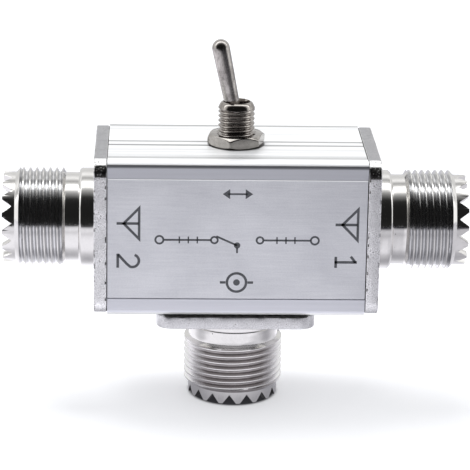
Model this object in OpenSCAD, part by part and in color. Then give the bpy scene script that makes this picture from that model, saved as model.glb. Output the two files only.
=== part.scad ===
// Two-way coaxial antenna switch: an extruded aluminium case that carries three
// threaded coaxial sockets (two aerials at the ends, the radio underneath) and a
// miniature changeover toggle switch on top.
// Millimetres. +Z is up, X runs from the left aerial socket to the right one, and
// the front face looks along -Y. The origin is the centre of the ring of teeth that
// the switch stands on, at the mouth of the lower socket.

/* [Case] */
// Length of the extruded case along X
case_l = 40.4; // [38:0.2:44]
// Depth of the extruded case along Y
case_d = 24.4; // [24:0.1:25]
// Height of the extruded case along Z
case_h = 25; // [24.8:0.1:26]
// Thickness of the extruded wall
case_wall = 1.6; // [1.4:0.1:1.8]
// Radius of the long outer edges of the case
case_r = 0.9; // [0.6:0.1:1.5]
// Height of the panel recess on the front and on the back
panel_h = 19.5; // [17:0.1:20]
// Depth of the panel recess
panel_depth = 0.3; // [0.2:0.05:0.4]
// Depth of the sloped recess on the top and on the bottom
shallow_depth = 0.2; // [0.1:0.05:0.25]
// Distance between the two lines scored along the middle of the top and of the bottom
score_w = 2.4; // [1.6:0.1:3]
// Depth of each scored line
score_d = 0.12; // [0.08:0.01:0.15]

/* [Label] */
// Thickness of the printed front plate
label_t = 0.38; // [0.3:0.02:0.5]
// Gap between the plate's lower edge and its recess; the upper edge sits close under the rail
label_gap = 0.2; // [0.1:0.01:0.25]

/* [Socket] */
// Side of the square socket flange
flange_w = 25; // [25:0.1:25.4]
// Thickness of the socket flange
flange_t = 2.1; // [1.8:0.1:2.5]
// Corner radius of the socket flange
flange_r = 2.5; // [2:0.1:3]
// Distance between neighbouring flange holes
hole_pitch = 18.2; // [17.8:0.1:18.3]
// Outside radius of the socket thread
thread_r = 7.9; // [7.8:0.01:7.94]
// Length of the socket thread
thread_l = 7.2; // [6:0.1:9]
// Radius of the plain collar at the foot of the socket
collar_r = 7.7; // [7.4:0.05:7.9]
// Length of the collar
collar_l = 2.47; // [2:0.01:3]
// Radius of the thread relief
neck_r = 6.95; // [6.8:0.05:7.2]
// Length of the thread relief
neck_l = 2.25; // [1.5:0.05:3]
// Radius of the rim that carries the teeth
rim_r = 7.2; // [7:0.05:7.4]
// Height of the locking teeth
tooth_h = 1.5; // [1:0.1:1.8]
// Number of locking teeth
tooth_n = 16; // [12:2:20]
// Radius of the socket's inner wall
socket_r = 6.1; // [6:0.05:6.2]
// Radius of the hole in the centre contact
contact_bore_r = 2.0; // [1.98:0.01:2.05]

/* [Toggle switch] */
// Outside radius of the threaded bushing
bush_r = 2.9; // [2.85:0.01:2.95]
// Height of the bushing's mouth above the middle of the case
bush_top = 19.25; // [19:0.05:19.5]
// Height of the lever's pivot above the middle of the case
pivot_up = 15.5; // [15.4:0.05:15.6]
// Angle of the lever to either side of upright
throw_a = 12; // [10:0.5:12]
// Angle of the rocking contact to either side of level
rock_a = 8; // [7.8:0.1:8]
// Distance across the flats of the hexagon nut
nut_af = 8.3; // [7.9:0.1:8.5]
// Thickness of the hexagon nut
nut_t = 1.8; // [1.5:0.1:2]

/* [Hidden] */
$fn = 96;
eps = 0.01;

// colours
ALU = [0.80, 0.80, 0.82];
FOIL = [0.76, 0.77, 0.80];
NICKEL = [0.78, 0.77, 0.74];
TIN = [0.82, 0.82, 0.80];
BRASS = [0.80, 0.68, 0.38];
SILVERED = [0.86, 0.84, 0.78];
DIELECTRIC = [0.93, 0.92, 0.88];
STEEL = [0.62, 0.62, 0.63];
BLUE = [0.10, 0.22, 0.50];
BLACK = [0.08, 0.08, 0.08];

socket_len = collar_l + neck_l + thread_l + 0.65 + 0.48 + tooth_h; // flange face to tooth tips
mid_z = socket_len + flange_t + case_h / 2;                         // middle of the case
inner_y = case_d / 2 - case_wall;
inner_z = case_h / 2 - case_wall;
hp = hole_pitch / 2;
// distances from the flange's inner face along a socket
z_collar = flange_t + collar_l;
z_neck = z_collar + neck_l;
z_thread = z_neck + thread_l;
z_rim = z_thread + 0.65;
z_root = z_rim + 0.48;
z_tip = z_root + tooth_h;
z_shoulder = 3.4;  // inner shoulder that the rear insulator rests on
z_disc = 5.0;      // front of the rear insulator
z_boss = z_root - 1.35; // front of the front insulator
cup_z = -7.3;      // end of the solder cup
// angle of the first tooth on each socket
ANT1_PHASE = -5.0;
ANT2_PHASE = -4.4;
RADIO_PHASE = -6.0;
// toggle switch, heights above the middle of the case
washer_t = 0.4;
frame_top = inner_z - washer_t;
frame_t = 0.5;
sw_case_top = frame_top - frame_t;
sw_case_bot = 1.0;
sw_floor = 2.6;
rock_z = 6.75;
lug_bot = -3.3;
lug_hole_z = -2.0;
term_x = 4.7;
nut_z = case_h / 2 - shallow_depth;
nut_turn = 16;

// ---------- placing ----------
module at_ant1() translate([case_l / 2, 0, mid_z]) rotate([0, 90, 0]) children();
module at_ant2() translate([-case_l / 2, 0, mid_z]) rotate([0, -90, 0]) children();
module at_radio() translate([0, 0, mid_z - case_h / 2]) rotate([180, 0, 0]) children();
module at_mid() translate([0, 0, mid_z]) children();
// the lever's own frame: +Z runs up the lever from its pivot
module at_lever() translate([0, 0, mid_z + pivot_up]) rotate([0, -throw_a, 0]) children();
module four(p) for (x = [-p, p]) for (y = [-p, p]) translate([x, y, 0]) children();

// ---------- case ----------
// a rectangle w by h with round corners, drawn with true arcs
module round_rect(w, h, r) {
    square([w - 2 * r, h], center = true);
    square([w, h - 2 * r], center = true);
    for (x = [-1, 1]) for (y = [-1, 1]) translate([x * (w / 2 - r), y * (h / 2 - r)]) circle(r);
}

// a shallow recess with sloped shoulders, cut into the side at +y of a section
module shallow_recess(half_h) {
    polygon([[-10.3, half_h + 1], [-10.3, half_h], [-8.4, half_h - shallow_depth],
             [8.4, half_h - shallow_depth], [10.3, half_h], [10.3, half_h + 1]]);
    for (x = [-score_w / 2, score_w / 2]) translate([x, half_h - shallow_depth])
        polygon([[0, -score_d], [score_d, 0], [score_d, 0.1], [-score_d, 0.1], [-score_d, 0]]);
}

// section of the extrusion: x is the case's depth, y its height
module case_section() {
    difference() {
        round_rect(case_d, case_h, case_r);
        // cavity, with a round boss left in each corner for the flange screws
        difference() {
            square([2 * inner_y, 2 * inner_z], center = true);
            for (x = [-1, 1]) for (y = [-1, 1]) translate([x * hp, y * hp]) {
                circle(2.5);
                translate([x > 0 ? 0 : -4, -2.5]) square([4, 5]);
                translate([-2.5, y > 0 ? 0 : -4]) square([5, 4]);
            }
        }
        for (x = [-hp, hp]) for (y = [-hp, hp]) translate([x, y]) circle(1.5);
        // panel recess on the front and on the back
        for (s = [-1, 1]) translate([s * (case_d / 2 + 1 - panel_depth), 0]) square([2, panel_h], center = true);
        shallow_recess(case_h / 2);
        rotate(180) shallow_recess(case_h / 2);
    }
}

module case_extrusion() color(ALU) at_mid() difference() {
    rotate([90, 0, 90]) translate([0, 0, -case_l / 2]) linear_extrude(case_l) case_section();
    translate([0, 0, inner_z - 1]) cylinder(r = 3.02, h = 5);                 // toggle bushing
    translate([0, 0, -case_h / 2 - 1]) cylinder(r = 5.6, h = 5);              // lower socket
    translate([0, 0, -case_h / 2 - 1]) four(hp) cylinder(r = 1.5, h = 5.1);   // lower flange screws
}

module front_label_plate() color(FOIL) at_mid()
    translate([-case_l / 2 + 0.05, -case_d / 2 + panel_depth - label_t, -panel_h / 2 + label_gap])
        cube([case_l - 0.1, label_t, panel_h - label_gap - 0.04]);

// ---------- coaxial socket ----------
module socket_shell(phase) color(TIN) difference() {
    union() {
        linear_extrude(flange_t) round_rect(flange_w, flange_w, flange_r);
        rotate_extrude() polygon([[0, 1], [collar_r, 1], [collar_r, z_collar], [neck_r, z_collar],
            [neck_r, z_neck], [thread_r, z_neck], [thread_r, z_thread], [rim_r, z_rim],
            [rim_r, z_tip], [0, z_tip]]);
    }
    translate([0, 0, z_shoulder]) cylinder(r = socket_r, h = z_tip);
    translate([0, 0, -1]) cylinder(r = 5.4, h = z_tip);
    // groove for the snap ring
    translate([0, 0, z_disc + 0.02]) cylinder(r = socket_r + 0.35, h = 0.56);
    // countersunk holes
    four(hp) {
        translate([0, 0, -1]) cylinder(r = 1.6, h = flange_t + 2);
        translate([0, 0, flange_t - 1.3]) cylinder(r1 = 1.6, r2 = 2.95, h = 1.35);
    }
    // V notches, each prism cutting two opposite ones
    for (i = [0 : tooth_n / 2 - 1]) rotate(phase + (i + 0.5) * 360 / tooth_n) translate([0, 0, z_tip])
        rotate([90, 0, 90]) linear_extrude(20, center = true)
            polygon([[0, -tooth_h], [1.1 + 0.15, 0.2], [-1.1 - 0.15, 0.2]]);
}

module front_insulator() color(DIELECTRIC) difference() {
    union() {
        translate([0, 0, z_disc]) cylinder(r = 4.5, h = z_boss - 0.3 - z_disc);
        translate([0, 0, z_boss - 0.3]) cylinder(r1 = 4.5, r2 = 4.2, h = 0.3);
    }
    translate([0, 0, 0]) cylinder(r = 2.95, h = z_tip);
}

module rear_insulator() color(DIELECTRIC) difference() {
    union() {
        translate([0, 0, z_shoulder]) cylinder(r = socket_r - 0.02, h = z_disc - z_shoulder);
        translate([0, 0, -1.2]) cylinder(r = 5.38, h = z_shoulder + 1.2 + eps);
    }
    translate([0, 0, -2]) cylinder(r = 1.45, h = z_tip);
    translate([0, 0, 4.2]) cylinder(r = 2.95, h = z_tip);
}

module centre_contact() color(SILVERED) difference() {
    union() {
        translate([0, 0, 4.22]) cylinder(r = 2.9, h = z_boss - 4.22 + 0.1);
        translate([0, 0, cup_z]) cylinder(r = 1.42, h = 4.22 - cup_z + eps);
    }
    translate([0, 0, z_disc]) cylinder(r = contact_bore_r, h = z_tip);
    translate([0, 0, z_boss - 0.3]) cylinder(r1 = contact_bore_r, r2 = contact_bore_r + 0.45, h = 0.45);
    // four spring fingers
    for (a = [0, 90]) rotate(a + 20) translate([-4, -0.2, z_disc + 2.4]) cube([8, 0.4, z_tip]);
    // solder cup with its open side
    translate([0, 0, cup_z - 1]) cylinder(r = 0.85, h = 4);
    translate([0, -0.85, cup_z - 1]) cube([3, 1.7, 2.6]);
}

module snap_ring() color(STEEL) difference() {
    translate([0, 0, z_disc + 0.05]) cylinder(r = socket_r + 0.3, h = 0.5);
    translate([0, 0, z_disc - 1]) cylinder(r = socket_r - 0.55, h = 3);
    rotate(45) translate([4, -0.7, z_disc - 1]) cube([4, 1.4, 3]);
}

// countersunk machine screws with cross recess; len is measured from the flange's outer face
module flange_screws(len) color(STEEL) four(hp) difference() {
    union() {
        translate([0, 0, flange_t - 0.05 - 1.3]) cylinder(r1 = 1.45, r2 = 2.75, h = 1.3);
        translate([0, 0, flange_t - len + 0.4]) cylinder(r = 1.45, h = len - 1.3);
        translate([0, 0, flange_t - len]) cylinder(r1 = 1.05, r2 = 1.45, h = 0.4 + eps);
    }
    for (a = [0, 90]) rotate(a + 30) translate([-1.35, -0.3, flange_t - 1.0]) cube([2.7, 0.6, 2]);
    translate([0, 0, flange_t - 1.35]) cylinder(r1 = 0.3, r2 = 0.75, h = 1.5);
}

// ---------- toggle switch ----------
module switch_bushing() color(NICKEL) at_mid() difference() {
    rotate_extrude() polygon([
        [0, 9.75], [2.9, 9.75], [2.9, sw_case_top], [2.6, sw_case_top], [2.6, frame_top], [bush_r, frame_top],
        [bush_r, 18.35], [2.72, 18.7], [2.5, 19.02], [2.25, bush_top], [0, bush_top]]);
    // inner way: flare, ball seat, throat and mouth
    rotate_extrude() polygon([
        [0, 9], [2.3, 9], [2.3, 10.4], [1.86, 14.6], [1.86, 15.6], [1.62, 16.45], [1.5, 16.9],
        [2.12, bush_top], [2.12, bush_top + 1], [0, bush_top + 1]]);
    // slots that guide the lever's trunnions, open at the foot
    translate([-0.55, -2.4, 9]) cube([1.1, 4.8, pivot_up - 9]);
    translate([0, 0, pivot_up]) rotate([90, 0, 0]) cylinder(r = 0.55, h = 4.8, center = true);
}

module switch_frame() color(STEEL) at_mid() difference() {
    union() {
        translate([-6.4, -4.35, sw_case_top]) cube([12.8, 8.7, frame_t]);
        for (s = [-1, 1]) translate([-3.2, s > 0 ? 3.95 : -4.35, 3.6]) cube([6.4, 0.4, frame_top - 3.6]);
    }
    translate([0, 0, sw_case_top - 1]) cylinder(r = 2.62, h = 3);
    for (s = [-1, 1]) translate([0, s * 4.15, 5]) rotate([90, 0, 0]) cylinder(r = 0.6, h = 2, center = true);
}

module switch_case() color(BLUE) at_mid() difference() {
    translate([-6.4, -3.9, sw_case_bot]) cube([12.8, 7.8, sw_case_top - sw_case_bot]);
    translate([-5.4, -3.0, sw_floor]) cube([10.8, 6.0, 20]);
    for (x = [-term_x, 0, term_x]) translate([x - 0.32, -1.02, 0]) cube([0.64, 2.04, 5]);
    // lead-in chamfers for the terminals, seen as pockets in the floor
    for (x = [-term_x / 2, term_x / 2]) translate([x - 0.6, -2.2, sw_case_bot - 1]) cube([1.2, 4.4, 1.5]);
}

module lug() difference() {
    translate([-0.3, -1.0, lug_bot]) cube([0.6, 2.0, 6.33 - 0.3 - lug_bot]);
    translate([0, 0, lug_hole_z]) rotate([0, 90, 0]) cylinder(r = 0.6, h = 2, center = true);
}

module common_terminal() color(SILVERED) at_mid() {
    difference() {
        union() {
            translate([-0.3, -1.0, lug_bot]) cube([0.6, 2.0, rock_z - lug_bot]);
            translate([0, 0, rock_z]) rotate([90, 0, 0]) cylinder(r = 0.3, h = 2.0, center = true);
        }
        translate([0, 0, lug_hole_z]) rotate([0, 90, 0]) cylinder(r = 0.6, h = 2, center = true);
    }
}

module side_terminal(s) color(SILVERED) at_mid() translate([s * term_x, 0, 0]) {
    lug();
    translate([s > 0 ? -1.1 : -0.3, -1.0, 5.88]) cube([1.4, 2.0, 0.3]);
    translate([-s * 0.45, 0, 6.17]) cylinder(r = 0.55, h = 0.16);
}

module switch_lock_washer() color(STEEL) at_mid() translate([0, 0, frame_top]) difference() {
    cylinder(r = 4.6, h = washer_t);
    translate([0, 0, -1]) cylinder(r = 3.0, h = 3);
    for (i = [0 : 9]) rotate(i * 36) translate([2.5, -0.35, -1]) cube([1.4, 0.7, 3]);
}

module switch_hex_nut() color(NICKEL) at_mid() translate([0, 0, nut_z]) rotate(nut_turn) difference() {
    intersection() {
        cylinder(r = nut_af / sqrt(3), h = nut_t, $fn = 6);
        // both faces are turned down to a cone at the corners
        rotate_extrude() polygon([[0, 0], [nut_af / 2, 0], [nut_af / 2 + 0.75, 0.4], [nut_af / 2 + 0.75, nut_t - 0.4],
            [nut_af / 2 - 0.05, nut_t], [0, nut_t]]);
    }
    translate([0, 0, -1]) cylinder(r = bush_r + 0.02, h = 5);
    translate([0, 0, nut_t - 0.25]) cylinder(r1 = bush_r + 0.02, r2 = bush_r + 0.3, h = 0.3);
}

// bat lever; heights are along the lever from its pivot
tip_c = 12.57;
tip_r = 1.4;
module toggle_lever() color(NICKEL) at_lever() difference() {
    union() {
        rotate_extrude() polygon([[0, -6.2], [0.95, -6.2], [1.1, -6.05], [1.1, -1.2], [1.05, 0], [1.05, 2.6], [1.2, 3.5],
            [tip_r, tip_c], [0, tip_c]]);
        sphere(1.8);
        translate([0, 0, tip_c]) sphere(tip_r);
        rotate([90, 0, 0]) cylinder(r = 0.5, h = 4.6, center = true);
    }
    translate([0, 0, -7]) cylinder(r = 0.75, h = 4.5);
}

module lever_plunger() color([0.92, 0.92, 0.90]) at_lever() {
    translate([0, 0, -6.7]) cylinder(r = 0.68, h = 2.15);
    translate([0, 0, -7.0]) cylinder(r = 0.95, h = 0.35);
    translate([0, 0, -7.45]) cylinder(r = 0.6, h = 0.5);
    translate([0, 0, -7.45]) sphere(0.6);
}

// coil spring above the plunger, swept along a helix
sp_r = 0.5;
sp_wire = 0.11;
sp_turns = 5;
sp_low = -4.4;
sp_high = -2.63;
sp_n = 16 * sp_turns;
sp_m = 8;
function sp_point(i) = [sp_r * cos(i * 360 / 16), sp_r * sin(i * 360 / 16), sp_low + (sp_high - sp_low) * i / sp_n];
function sp_ring(i) = let (a = i * 360 / 16, p = sp_point(i))
    [for (j = [0 : sp_m - 1]) let (b = j * 360 / sp_m)
        p + sp_wire * [cos(a) * cos(b), sin(a) * cos(b), sin(b)]];
module plunger_spring() color(STEEL) at_lever() polyhedron(
    points = [for (i = [0 : sp_n]) each sp_ring(i)],
    faces = concat(
        [[for (j = [0 : sp_m - 1]) j]],
        [for (i = [0 : sp_n - 1]) for (j = [0 : sp_m - 1]) let (k = (j + 1) % sp_m)
            [i * sp_m + j, (i + 1) * sp_m + j, (i + 1) * sp_m + k, i * sp_m + k]],
        [[for (j = [sp_m - 1 : -1 : 0]) sp_n * sp_m + j]]));

// rocking contact: a strip bent to a W that see-saws on the common terminal's round top
module rocker_contact() color(BRASS) at_mid() translate([0, 0, rock_z]) rotate([0, rock_a, 0]) difference() {
    rotate([90, 0, 0]) union() {
        linear_extrude(2.4, center = true)
            polygon([[0, 0.55], [2.0, 1.086], [4.4, 0.576], [4.4, 0.226], [2.0, 0.736], [0.5, 0.3], [0, 0.2],
                [-0.5, 0.3], [-2.0, 0.736], [-4.4, 0.226], [-4.4, 0.576], [-2.0, 1.086]]);
        cylinder(r = 0.62, h = 2.4, center = true);
    }
    translate([-1, -2, -1.05]) cube([2, 4, 1]);
    rotate([90, 0, 0]) cylinder(r = 0.33, h = 5, center = true);
}

// ---------- wiring ----------
wire_r = 0.45;
// a wire along straight runs in the XZ plane, with a slightly fuller round at each bend
module rod(a, b) let (d = b - a, l = norm(d))
    translate([a[0], 0, a[1]]) rotate([0, atan2(d[0], d[1]), 0]) cylinder(r = wire_r, h = l);
module wire(pts) {
    for (i = [0 : len(pts) - 2]) rod(pts[i], pts[i + 1]);
    for (i = [1 : len(pts) - 2]) translate([pts[i][0], 0, pts[i][1]]) sphere(wire_r + 0.03);
}
cup_x = case_l / 2 + cup_z;
cup_low = -case_h / 2 - cup_z;
side_path = [[4.1, lug_hole_z], [6.8, lug_hole_z], [10.4, 0], [cup_x + 1.7, 0]];
radio_path = [[-0.7, lug_hole_z], [0.95, lug_hole_z], [0.95, -3.5], [0, -4.5], [0, cup_low - 1.7]];

module ant1_link_wire() color(TIN) at_mid() wire(side_path);
module ant2_link_wire() color(TIN) at_mid() mirror([1, 0, 0]) wire(side_path);
module radio_link_wire() color(TIN) at_mid() wire(radio_path);

module solder_joints() color([0.72, 0.73, 0.75]) at_mid() {
    // beads on the switch's lugs
    for (s = [-1, 1]) difference() {
        translate([s * term_x, 0, lug_hole_z]) sphere(0.92);
        translate([s * term_x - 0.31, -2, -5]) cube([0.62, 4, 6]);
        translate([s * term_x, 0, lug_hole_z]) rotate([0, 90, 0]) cylinder(r = wire_r + 0.01, h = 5, center = true);
    }
    difference() {
        translate([0, 0, lug_hole_z]) sphere(0.9);
        translate([-0.31, -2, -5]) cube([5, 4, 6]);
        translate([0, 0, lug_hole_z]) rotate([0, 90, 0]) cylinder(r = wire_r + 0.01, h = 5, center = true);
    }
    // fillings of the solder cups
    for (s = [-1, 1]) translate([s * (cup_x + 1.62), 0, 0]) rotate([0, s * 90, 0]) difference() {
        cylinder(r = 0.83, h = 1.3);
        translate([0, 0, -1]) cylinder(r = wire_r + 0.01, h = 1.2);
    }
    translate([0, 0, cup_low - 2.92]) difference() {
        cylinder(r = 0.83, h = 1.3);
        translate([0, 0, 1.1]) cylinder(r = wire_r + 0.01, h = 1.2);
    }
}

case_extrusion();
front_label_plate();
at_ant1() socket_shell(ANT1_PHASE);  // ant1_socket_shell
at_ant1() front_insulator();  // ant1_front_insulator
at_ant1() rear_insulator();  // ant1_rear_insulator
at_ant1() centre_contact();  // ant1_centre_contact
at_ant1() snap_ring();  // ant1_snap_ring
at_ant1() flange_screws(8);  // ant1_flange_screws
at_ant2() socket_shell(ANT2_PHASE);  // ant2_socket_shell
at_ant2() front_insulator();  // ant2_front_insulator
at_ant2() rear_insulator();  // ant2_rear_insulator
at_ant2() centre_contact();  // ant2_centre_contact
at_ant2() snap_ring();  // ant2_snap_ring
at_ant2() flange_screws(8);  // ant2_flange_screws
at_radio() socket_shell(RADIO_PHASE);  // radio_socket_shell
at_radio() front_insulator();  // radio_front_insulator
at_radio() rear_insulator();  // radio_rear_insulator
at_radio() centre_contact();  // radio_centre_contact
at_radio() snap_ring();  // radio_snap_ring
at_radio() flange_screws(6);  // radio_flange_screws
switch_bushing();
switch_frame();
switch_case();
common_terminal();
side_terminal(-1);  // left_terminal
side_terminal(1);  // right_terminal
switch_lock_washer();
switch_hex_nut();
toggle_lever();
lever_plunger();
plunger_spring();
rocker_contact();
ant1_link_wire();
ant2_link_wire();
radio_link_wire();
solder_joints();
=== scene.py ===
import math

import bmesh
import bpy
from mathutils import Matrix, Vector, noise


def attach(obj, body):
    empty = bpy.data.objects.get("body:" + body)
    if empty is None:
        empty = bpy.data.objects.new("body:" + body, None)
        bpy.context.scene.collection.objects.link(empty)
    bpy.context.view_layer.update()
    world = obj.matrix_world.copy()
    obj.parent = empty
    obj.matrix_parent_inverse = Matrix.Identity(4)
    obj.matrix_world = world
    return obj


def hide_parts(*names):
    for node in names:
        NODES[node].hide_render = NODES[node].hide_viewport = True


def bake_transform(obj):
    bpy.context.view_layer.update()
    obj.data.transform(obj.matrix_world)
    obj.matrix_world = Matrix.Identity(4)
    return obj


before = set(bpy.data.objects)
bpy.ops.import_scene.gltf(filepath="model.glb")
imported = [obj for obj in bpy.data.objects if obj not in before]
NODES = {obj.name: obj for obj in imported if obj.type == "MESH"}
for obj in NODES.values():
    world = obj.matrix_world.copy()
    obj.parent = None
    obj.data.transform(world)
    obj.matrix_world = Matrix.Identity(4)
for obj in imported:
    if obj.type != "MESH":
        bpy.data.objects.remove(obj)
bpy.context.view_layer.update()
MM = 0.001
MID = 29.15          # height of the case's middle, mm
HALF_L = 20.2        # half the case's length, mm
CASE_FRONT = -12.2   # the case's front edges, mm
PI = math.pi


# ------------------------------------------------------------------ materials
def new_material(name):
    m = bpy.data.materials.new(name)
    m.use_nodes = True
    nt = m.node_tree
    nt.nodes.clear()
    out = nt.nodes.new("ShaderNodeOutputMaterial")
    bsdf = nt.nodes.new("ShaderNodeBsdfPrincipled")
    nt.links.new(bsdf.outputs[0], out.inputs[0])
    return m, nt, bsdf


def coords(nt, scale=(1, 1, 1), rot=(0, 0, 0)):
    tc = nt.nodes.new("ShaderNodeTexCoord")
    mp = nt.nodes.new("ShaderNodeMapping")
    mp.inputs["Scale"].default_value = scale
    mp.inputs["Rotation"].default_value = rot
    nt.links.new(tc.outputs["Object"], mp.inputs["Vector"])
    return mp.outputs[0]


def noise_tex(nt, vec, scale, detail=4.0, rough=0.6, distort=0.0):
    n = nt.nodes.new("ShaderNodeTexNoise")
    n.inputs["Scale"].default_value = scale
    n.inputs["Detail"].default_value = detail
    n.inputs["Roughness"].default_value = rough
    n.inputs["Distortion"].default_value = distort
    nt.links.new(vec, n.inputs["Vector"])
    return n.outputs["Fac"]


def remap(nt, val, a, b, lo, hi):
    n = nt.nodes.new("ShaderNodeMapRange")
    n.inputs["From Min"].default_value = a
    n.inputs["From Max"].default_value = b
    n.inputs["To Min"].default_value = lo
    n.inputs["To Max"].default_value = hi
    nt.links.new(val, n.inputs["Value"])
    return n.outputs[0]


def ramp(nt, val, stops):
    n = nt.nodes.new("ShaderNodeValToRGB")
    e = n.color_ramp.elements
    for i, (p, c) in ((0, stops[0]), (1, stops[-1])):
        e[i].position = p
        e[i].color = (*c, 1)
    for p, c in stops[1:-1]:
        e.new(p).color = (*c, 1)
    nt.links.new(val, n.inputs[0])
    return n.outputs["Color"]


def bump(nt, height, strength, distance, normal=None):
    n = nt.nodes.new("ShaderNodeBump")
    n.inputs["Strength"].default_value = strength
    n.inputs["Distance"].default_value = distance
    nt.links.new(height, n.inputs["Height"])
    if normal is not None:
        nt.links.new(normal, n.inputs["Normal"])
    return n.outputs[0]


def math_node(nt, op, a, b):
    n = nt.nodes.new("ShaderNodeMath")
    n.operation = op
    for i, v in enumerate((a, b)):
        if isinstance(v, (int, float)):
            n.inputs[i].default_value = v
        else:
            nt.links.new(v, n.inputs[i])
    return n.outputs[0]


def mix_colour(nt, fac, a, b):
    n = nt.nodes.new("ShaderNodeMix")
    n.data_type = "RGBA"
    nt.links.new(fac, n.inputs["Factor"])
    for key, v in (("A", a), ("B", b)):
        if isinstance(v, tuple):
            n.inputs[key].default_value = (*v, 1)
        else:
            nt.links.new(v, n.inputs[key])
    return n.outputs["Result"]


def metal(name, dark, light, r_lo, r_hi, grain=(1, 1, 1), grain_scale=900.0, blotch_scale=120.0,
          bump_s=0.15, bump_d=0.00002, specks=False, side=None):
    """Metal with fine grain stretched by `grain`, larger blotches in tone and in roughness, and a few dark specks."""
    m, nt, b = new_material(name)
    b.inputs["Metallic"].default_value = 1.0
    fine = noise_tex(nt, coords(nt, grain), grain_scale, 5.0, 0.7)
    blot = noise_tex(nt, coords(nt), blotch_scale, 4.0, 0.6, 0.4)
    mixed = math_node(nt, "ADD", math_node(nt, "MULTIPLY", fine, 0.45), math_node(nt, "MULTIPLY", blot, 0.55))
    tone = ramp(nt, mixed, [(0.30, dark), (0.70, light)])
    if specks:
        v = nt.nodes.new("ShaderNodeTexVoronoi")
        v.inputs["Scale"].default_value = 1150.0
        nt.links.new(coords(nt), v.inputs["Vector"])
        cell = nt.nodes.new("ShaderNodeSeparateColor")
        nt.links.new(v.outputs["Color"], cell.inputs[0])
        spot = math_node(nt, "MULTIPLY", remap(nt, v.outputs["Distance"], 0.07, 0.13, 1.0, 0.0),
                         math_node(nt, "GREATER_THAN", cell.outputs[0], 0.93))
        tone = mix_colour(nt, spot, tone, (0.10, 0.095, 0.09))
    if side:                                                         # painted highlight: the plating lightens towards the two sides in X, standing in for glare
        sep = nt.nodes.new("ShaderNodeSeparateXYZ")
        nt.links.new(coords(nt), sep.inputs[0])
        out = remap(nt, math_node(nt, "ABSOLUTE", sep.outputs["X"], 0.0), 0.0045, 0.0074, 0.0, 1.0)
        tone = mix_colour(nt, out, tone, side)
    nt.links.new(tone, b.inputs["Base Color"])
    nt.links.new(remap(nt, mixed, 0.3, 0.7, r_hi, r_lo), b.inputs["Roughness"])
    nt.links.new(bump(nt, fine, bump_s, bump_d), b.inputs["Normal"])
    return m


def pitted_metal(name, dark, light, r_lo, r_hi, pit_colour=(0.20, 0.195, 0.19), gate_at=(0.49, 0.62), metallic=1.0,
                 fine_scale=2600.0, pit_scale=2300.0, hole_at=(0.16, 0.36),
                 spread=(0.40, 0.60), rim=False, share=0.5):
    """The flanges' sheared and plated edges: grainy, with scattered small pits."""
    m, nt, b = new_material(name)
    b.inputs["Metallic"].default_value = metallic
    vec = coords(nt)
    fine = noise_tex(nt, vec, fine_scale, 5.0, 0.75)
    mid = noise_tex(nt, vec, 520.0, 5.0, 0.7, 0.6)
    pits = nt.nodes.new("ShaderNodeTexVoronoi")
    pits.inputs["Scale"].default_value = pit_scale
    pits.inputs["Randomness"].default_value = 1.0
    nt.links.new(vec, pits.inputs["Vector"])
    hole = remap(nt, pits.outputs["Distance"], hole_at[0], hole_at[1], 0.0, 1.0)
    gate = remap(nt, mid, gate_at[0], gate_at[1], 0.0, 1.0)          # pits mostly in patches
    inv = math_node(nt, "SUBTRACT", 1.0, gate)
    pit = math_node(nt, "MAXIMUM", hole, inv)
    col = ramp(nt, math_node(nt, "ADD", math_node(nt, "MULTIPLY", fine, share), math_node(nt, "MULTIPLY", mid, 1.0 - share)),
               [(spread[0], dark), (spread[1], light)])
    if rim:                                                          # black specks along the outer edge
        sep = nt.nodes.new("ShaderNodeSeparateXYZ")
        nt.links.new(vec, sep.inputs[0])
        out = remap(nt, math_node(nt, "ABSOLUTE", sep.outputs["X"], 0.0), 0.02195, 0.02228, 0.0, 1.0)
        speck = remap(nt, noise_tex(nt, vec, 1500.0, 3.0, 0.7), 0.60, 0.53, 0.0, 1.0)
        col = mix_colour(nt, math_node(nt, "SUBTRACT", 1.0, math_node(nt, "MULTIPLY", out, math_node(nt, "SUBTRACT", 1.0, speck))), (0.04, 0.04, 0.04), col)
    mix = nt.nodes.new("ShaderNodeMix")
    mix.data_type = "RGBA"
    mix.inputs["A"].default_value = (*pit_colour, 1)
    nt.links.new(pit, mix.inputs["Factor"])
    nt.links.new(col, mix.inputs["B"])
    nt.links.new(mix.outputs["Result"], b.inputs["Base Color"])
    nt.links.new(remap(nt, mid, 0.3, 0.7, r_hi, r_lo), b.inputs["Roughness"])
    n1 = bump(nt, fine, 0.35, 0.00003)
    nt.links.new(bump(nt, pit, 0.5, 0.00006, n1), b.inputs["Normal"])
    return m


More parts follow.
